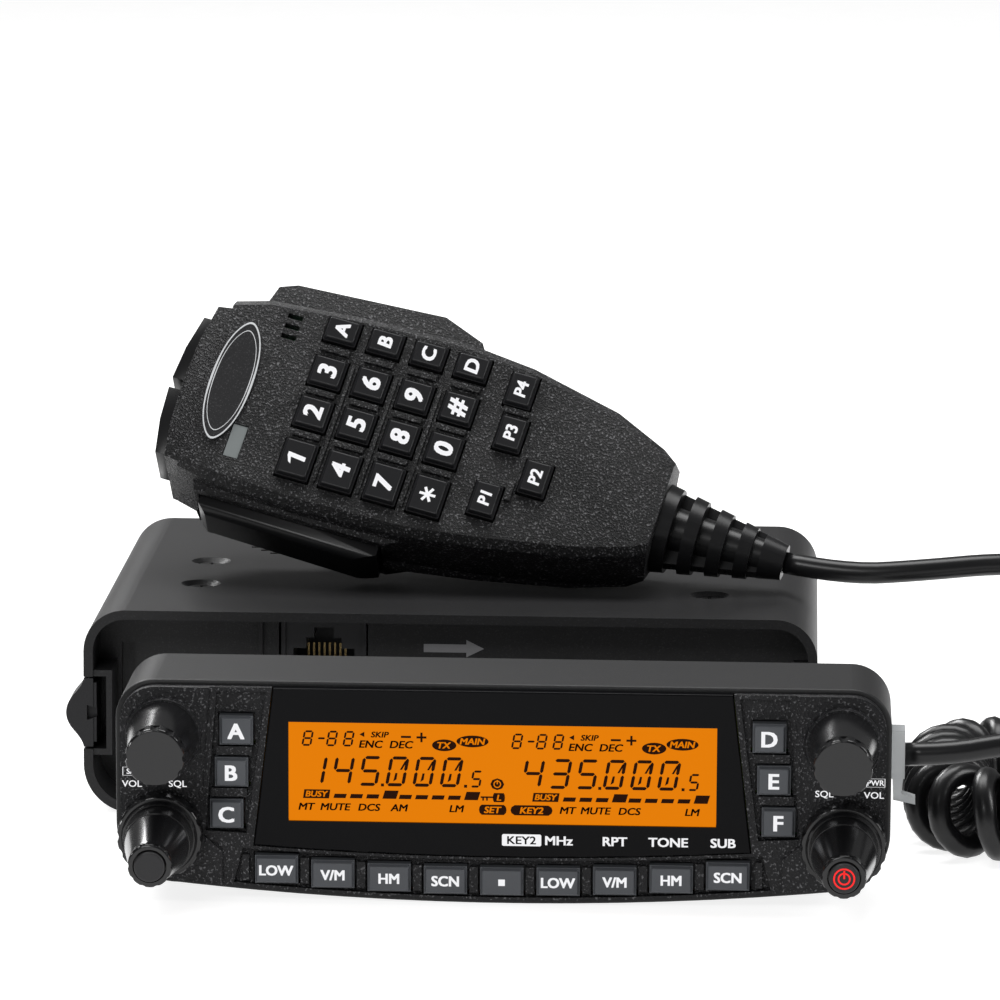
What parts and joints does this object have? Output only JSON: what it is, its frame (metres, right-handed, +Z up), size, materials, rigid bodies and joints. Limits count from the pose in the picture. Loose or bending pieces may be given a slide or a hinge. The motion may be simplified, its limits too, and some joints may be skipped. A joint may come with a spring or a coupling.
{
  "type": "mobile transceiver",
  "caption": "Mobile radio transceiver with a detached control head, a keypad hand microphone on a curly cord, knobs, keys and an amber display.",
  "frame": {"origin": "on the main unit's flat underside, midway across it and 62.5 mm behind its front rim", "axes": "+X to the right of a person facing the control head, +Y to the back of the main unit, +Z up"},
  "size_m": [0.3065, 0.2126, 0.0947],
  "materials": {
    "case_black": "fine-grained satin black coating",
    "latch_black": "ribbed moulded plastic",
    "socket_plastic": "moulded black plastic",
    "fan_black": "moulded black plastic",
    "board_green": "solder-masked glass-fibre board",
    "bare_aluminium": "as extruded",
    "nickel": "nickel-plated brass",
    "screw_steel": "black oxide",
    "speaker_paper": "black cone with a steel magnet",
    "housing_grey": "satin dark grey, very fine grain",
    "bezel_black": "coarse spark-eroded grain",
    "window_black": "polished",
    "display_amber": "amber backlit display",
    "knob_black": "semi-gloss",
    "cap_black": "fine grain",
    "key_grey": "smooth matt key with a white legend",
    "mic_black": "coarse spark-eroded grain",
    "badge_black": "grained plate with a silver line",
    "bar_gloss": "semi-gloss",
    "mic_key_rubber": "matt silicone key with a white legend",
    "cable_rubber": "smooth, slightly shiny",
    "plug_clear": "clear polycarbonate"
  },
  "bodies": {
    "main_unit": {"chassis": "case_black", "top_cover": "case_black", "case_screws": "screw_steel", "front_tray": "case_black", "panel_jack": "socket_plastic", "main_board": "board_green", "power_module": "bare_aluminium", "fan_frame": "socket_plastic", "antenna_socket": "nickel", "rear_sockets": "socket_plastic", "speaker": "speaker_paper", "cord_lead": "cable_rubber", "cord_coil": "cable_rubber", "cord_tail": "cable_rubber"},
    "release_latch": {"release_latch": "latch_black"},
    "fan_rotor": {"fan_rotor": "fan_black"},
    "control_head": {"panel_housing": "housing_grey", "panel_bezel": "bezel_black", "display_window": "window_black", "lcd_module": "display_amber", "panel_board": "board_green", "mic_jack": "socket_plastic", "cord_plug": "plug_clear"},
    "dial_knob_left": {"dial_knob_left": "knob_black"},
    "dial_knob_right": {"dial_knob_right": "knob_black"},
    "squelch_ring_left": {"squelch_ring_left": "knob_black"},
    "squelch_ring_right": {"squelch_ring_right": "knob_black"},
    "volume_knob_left": {"volume_knob_left": "knob_black"},
    "volume_knob_right": {"volume_knob_right": "knob_black"},
    "push_cap_left": {"push_cap_left": "cap_black"},
    "push_cap_right": {"push_cap_right": "cap_black"},
    "key_a": {"key_a": "key_grey"},
    "key_b": {"key_b": "key_grey"},
    "key_c": {"key_c": "key_grey"},
    "key_d": {"key_d": "key_grey"},
    "key_e": {"key_e": "key_grey"},
    "key_f": {"key_f": "key_grey"},
    "function_key_1": {"function_key_1": "key_grey"},
    "function_key_2": {"function_key_2": "key_grey"},
    "function_key_3": {"function_key_3": "key_grey"},
    "function_key_4": {"function_key_4": "key_grey"},
    "function_key_5": {"function_key_5": "key_grey"},
    "function_key_6": {"function_key_6": "key_grey"},
    "function_key_7": {"function_key_7": "key_grey"},
    "function_key_8": {"function_key_8": "key_grey"},
    "function_key_9": {"function_key_9": "key_grey"},
    "microphone": {"mic_front": "mic_black", "mic_back": "mic_black", "mic_badge": "badge_black", "hang_button": "mic_black", "mic_board": "board_green", "mic_boot": "cable_rubber"},
    "ptt_bar": {"ptt_bar": "bar_gloss"},
    "up_key": {"up_key": "bar_gloss"},
    "down_key": {"down_key": "bar_gloss"},
    "keypad_row_1": {"keypad_row_1": "mic_key_rubber"},
    "keypad_row_2": {"keypad_row_2": "mic_key_rubber"},
    "keypad_row_3": {"keypad_row_3": "mic_key_rubber"},
    "keypad_row_4": {"keypad_row_4": "mic_key_rubber"},
    "program_keys": {"program_keys": "mic_key_rubber"}
  },
  "joints": [
    {"name": "head_dock", "type": "slide", "parent": "main_unit", "child": "control_head", "axis": [-0.2675, 0.9635, 0], "range_m": [0, 0.04971]},
    {"name": "latch_press", "type": "slide", "parent": "main_unit", "child": "release_latch", "axis": [1, 0, 0], "range_m": [0, 0.0015], "stiffness_N_per_m": 300, "springref_m": -0.001},
    {"name": "fan_spin", "type": "hinge", "parent": "main_unit", "child": "fan_rotor", "pos_m": [0.025, 0.0278, 0.0196], "axis": [0, 1, 0], "continuous": true},
    {"name": "dial_left_turn", "type": "hinge", "parent": "control_head", "child": "dial_knob_left", "pos_m": [-0.0479, -0.13533, 0.03116], "axis": [0, -0.9986, -0.0523], "continuous": true},
    {"name": "squelch_left_turn", "type": "hinge", "parent": "control_head", "child": "squelch_ring_left", "pos_m": [-0.0483, -0.13439, 0.01308], "axis": [0, -0.9986, -0.0523], "range_deg": [-150, 150]},
    {"name": "volume_left_turn", "type": "hinge", "parent": "control_head", "child": "volume_knob_left", "pos_m": [-0.0483, -0.13439, 0.01308], "axis": [0, -0.9986, -0.0523], "range_deg": [-150, 150]},
    {"name": "push_left_press", "type": "slide", "parent": "volume_knob_left", "child": "push_cap_left", "axis": [0, 0.9986, 0.0523], "range_m": [0, 0.0008], "stiffness_N_per_m": 300, "springref_m": -0.001},
    {"name": "dial_right_turn", "type": "hinge", "parent": "control_head", "child": "dial_knob_right", "pos_m": [0.0745, -0.13533, 0.03116], "axis": [0, -0.9986, -0.0523], "continuous": true},
    {"name": "squelch_right_turn", "type": "hinge", "parent": "control_head", "child": "squelch_ring_right", "pos_m": [0.0749, -0.13439, 0.01308], "axis": [0, -0.9986, -0.0523], "range_deg": [-150, 150]},
    {"name": "volume_right_turn", "type": "hinge", "parent": "control_head", "child": "volume_knob_right", "pos_m": [0.0749, -0.13439, 0.01308], "axis": [0, -0.9986, -0.0523], "range_deg": [-150, 150]},
    {"name": "push_right_press", "type": "slide", "parent": "volume_knob_right", "child": "push_cap_right", "axis": [0, 0.9986, 0.0523], "range_m": [0, 0.0008], "stiffness_N_per_m": 300, "springref_m": -0.001},
    {"name": "key_a_press", "type": "slide", "parent": "control_head", "child": "key_a", "axis": [0, 0.9986, 0.0523], "range_m": [0, 0.0008], "stiffness_N_per_m": 200, "springref_m": -0.001},
    {"name": "key_b_press", "type": "slide", "parent": "control_head", "child": "key_b", "axis": [0, 0.9986, 0.0523], "range_m": [0, 0.0008], "stiffness_N_per_m": 200, "springref_m": -0.001},
    {"name": "key_c_press", "type": "slide", "parent": "control_head", "child": "key_c", "axis": [0, 0.9986, 0.0523], "range_m": [0, 0.0008], "stiffness_N_per_m": 200, "springref_m": -0.001},
    {"name": "key_d_press", "type": "slide", "parent": "control_head", "child": "key_d", "axis": [0, 0.9986, 0.0523], "range_m": [0, 0.0008], "stiffness_N_per_m": 200, "springref_m": -0.001},
    {"name": "key_e_press", "type": "slide", "parent": "control_head", "child": "key_e", "axis": [0, 0.9986, 0.0523], "range_m": [0, 0.0008], "stiffness_N_per_m": 200, "springref_m": -0.001},
    {"name": "key_f_press", "type": "slide", "parent": "control_head", "child": "key_f", "axis": [0, 0.9986, 0.0523], "range_m": [0, 0.0008], "stiffness_N_per_m": 200, "springref_m": -0.001},
    {"name": "function_key_1_press", "type": "slide", "parent": "control_head", "child": "function_key_1", "axis": [0, 0.9986, 0.0523], "range_m": [0, 0.0008], "stiffness_N_per_m": 200, "springref_m": -0.001},
    {"name": "function_key_2_press", "type": "slide", "parent": "control_head", "child": "function_key_2", "axis": [0, 0.9986, 0.0523], "range_m": [0, 0.0008], "stiffness_N_per_m": 200, "springref_m": -0.001},
    {"name": "function_key_3_press", "type": "slide", "parent": "control_head", "child": "function_key_3", "axis": [0, 0.9986, 0.0523], "range_m": [0, 0.0008], "stiffness_N_per_m": 200, "springref_m": -0.001},
    {"name": "function_key_4_press", "type": "slide", "parent": "control_head", "child": "function_key_4", "axis": [0, 0.9986, 0.0523], "range_m": [0, 0.0008], "stiffness_N_per_m": 200, "springref_m": -0.001},
    {"name": "function_key_5_press", "type": "slide", "parent": "control_head", "child": "function_key_5", "axis": [0, 0.9986, 0.0523], "range_m": [0, 0.0008], "stiffness_N_per_m": 200, "springref_m": -0.001},
    {"name": "function_key_6_press", "type": "slide", "parent": "control_head", "child": "function_key_6", "axis": [0, 0.9986, 0.0523], "range_m": [0, 0.0008], "stiffness_N_per_m": 200, "springref_m": -0.001},
    {"name": "function_key_7_press", "type": "slide", "parent": "control_head", "child": "function_key_7", "axis": [0, 0.9986, 0.0523], "range_m": [0, 0.0008], "stiffness_N_per_m": 200, "springref_m": -0.001},
    {"name": "function_key_8_press", "type": "slide", "parent": "control_head", "child": "function_key_8", "axis": [0, 0.9986, 0.0523], "range_m": [0, 0.0008], "stiffness_N_per_m": 200, "springref_m": -0.001},
    {"name": "function_key_9_press", "type": "slide", "parent": "control_head", "child": "function_key_9", "axis": [0, 0.9986, 0.0523], "range_m": [0, 0.0008], "stiffness_N_per_m": 200, "springref_m": -0.001},
    {"name": "microphone_lift", "type": "slide", "parent": "main_unit", "child": "microphone", "axis": [0, 0, 1], "range_m": [0, 0.08]},
    {"name": "ptt_press", "type": "slide", "parent": "microphone", "child": "ptt_bar", "axis": [0.2756, 0.5235, 0.8062], "range_m": [0, 0.0012], "stiffness_N_per_m": 300, "springref_m": -0.001},
    {"name": "up_press", "type": "slide", "parent": "microphone", "child": "up_key", "axis": [0.9613, -0.1501, -0.2312], "range_m": [0, 0.0008], "stiffness_N_per_m": 200, "springref_m": -0.001},
    {"name": "down_press", "type": "slide", "parent": "microphone", "child": "down_key", "axis": [0.9613, -0.1501, -0.2312], "range_m": [0, 0.0008], "stiffness_N_per_m": 200, "springref_m": -0.001},
    {"name": "keypad_row_1_press", "type": "slide", "parent": "microphone", "child": "keypad_row_1", "axis": [0, 0.8387, -0.5446], "range_m": [0, 0.0007], "stiffness_N_per_m": 250, "springref_m": -0.001},
    {"name": "keypad_row_2_press", "type": "slide", "parent": "microphone", "child": "keypad_row_2", "axis": [0, 0.8387, -0.5446], "range_m": [0, 0.0007], "stiffness_N_per_m": 250, "springref_m": -0.001},
    {"name": "keypad_row_3_press", "type": "slide", "parent": "microphone", "child": "keypad_row_3", "axis": [0, 0.8387, -0.5446], "range_m": [0, 0.0007], "stiffness_N_per_m": 250, "springref_m": -0.001},
    {"name": "keypad_row_4_press", "type": "slide", "parent": "microphone", "child": "keypad_row_4", "axis": [0, 0.8387, -0.5446], "range_m": [0, 0.0007], "stiffness_N_per_m": 250, "springref_m": -0.001},
    {"name": "program_keys_press", "type": "slide", "parent": "microphone", "child": "program_keys", "axis": [0, 0.8387, -0.5446], "range_m": [0, 0.0007], "stiffness_N_per_m": 250, "springref_m": -0.001}
  ]
}
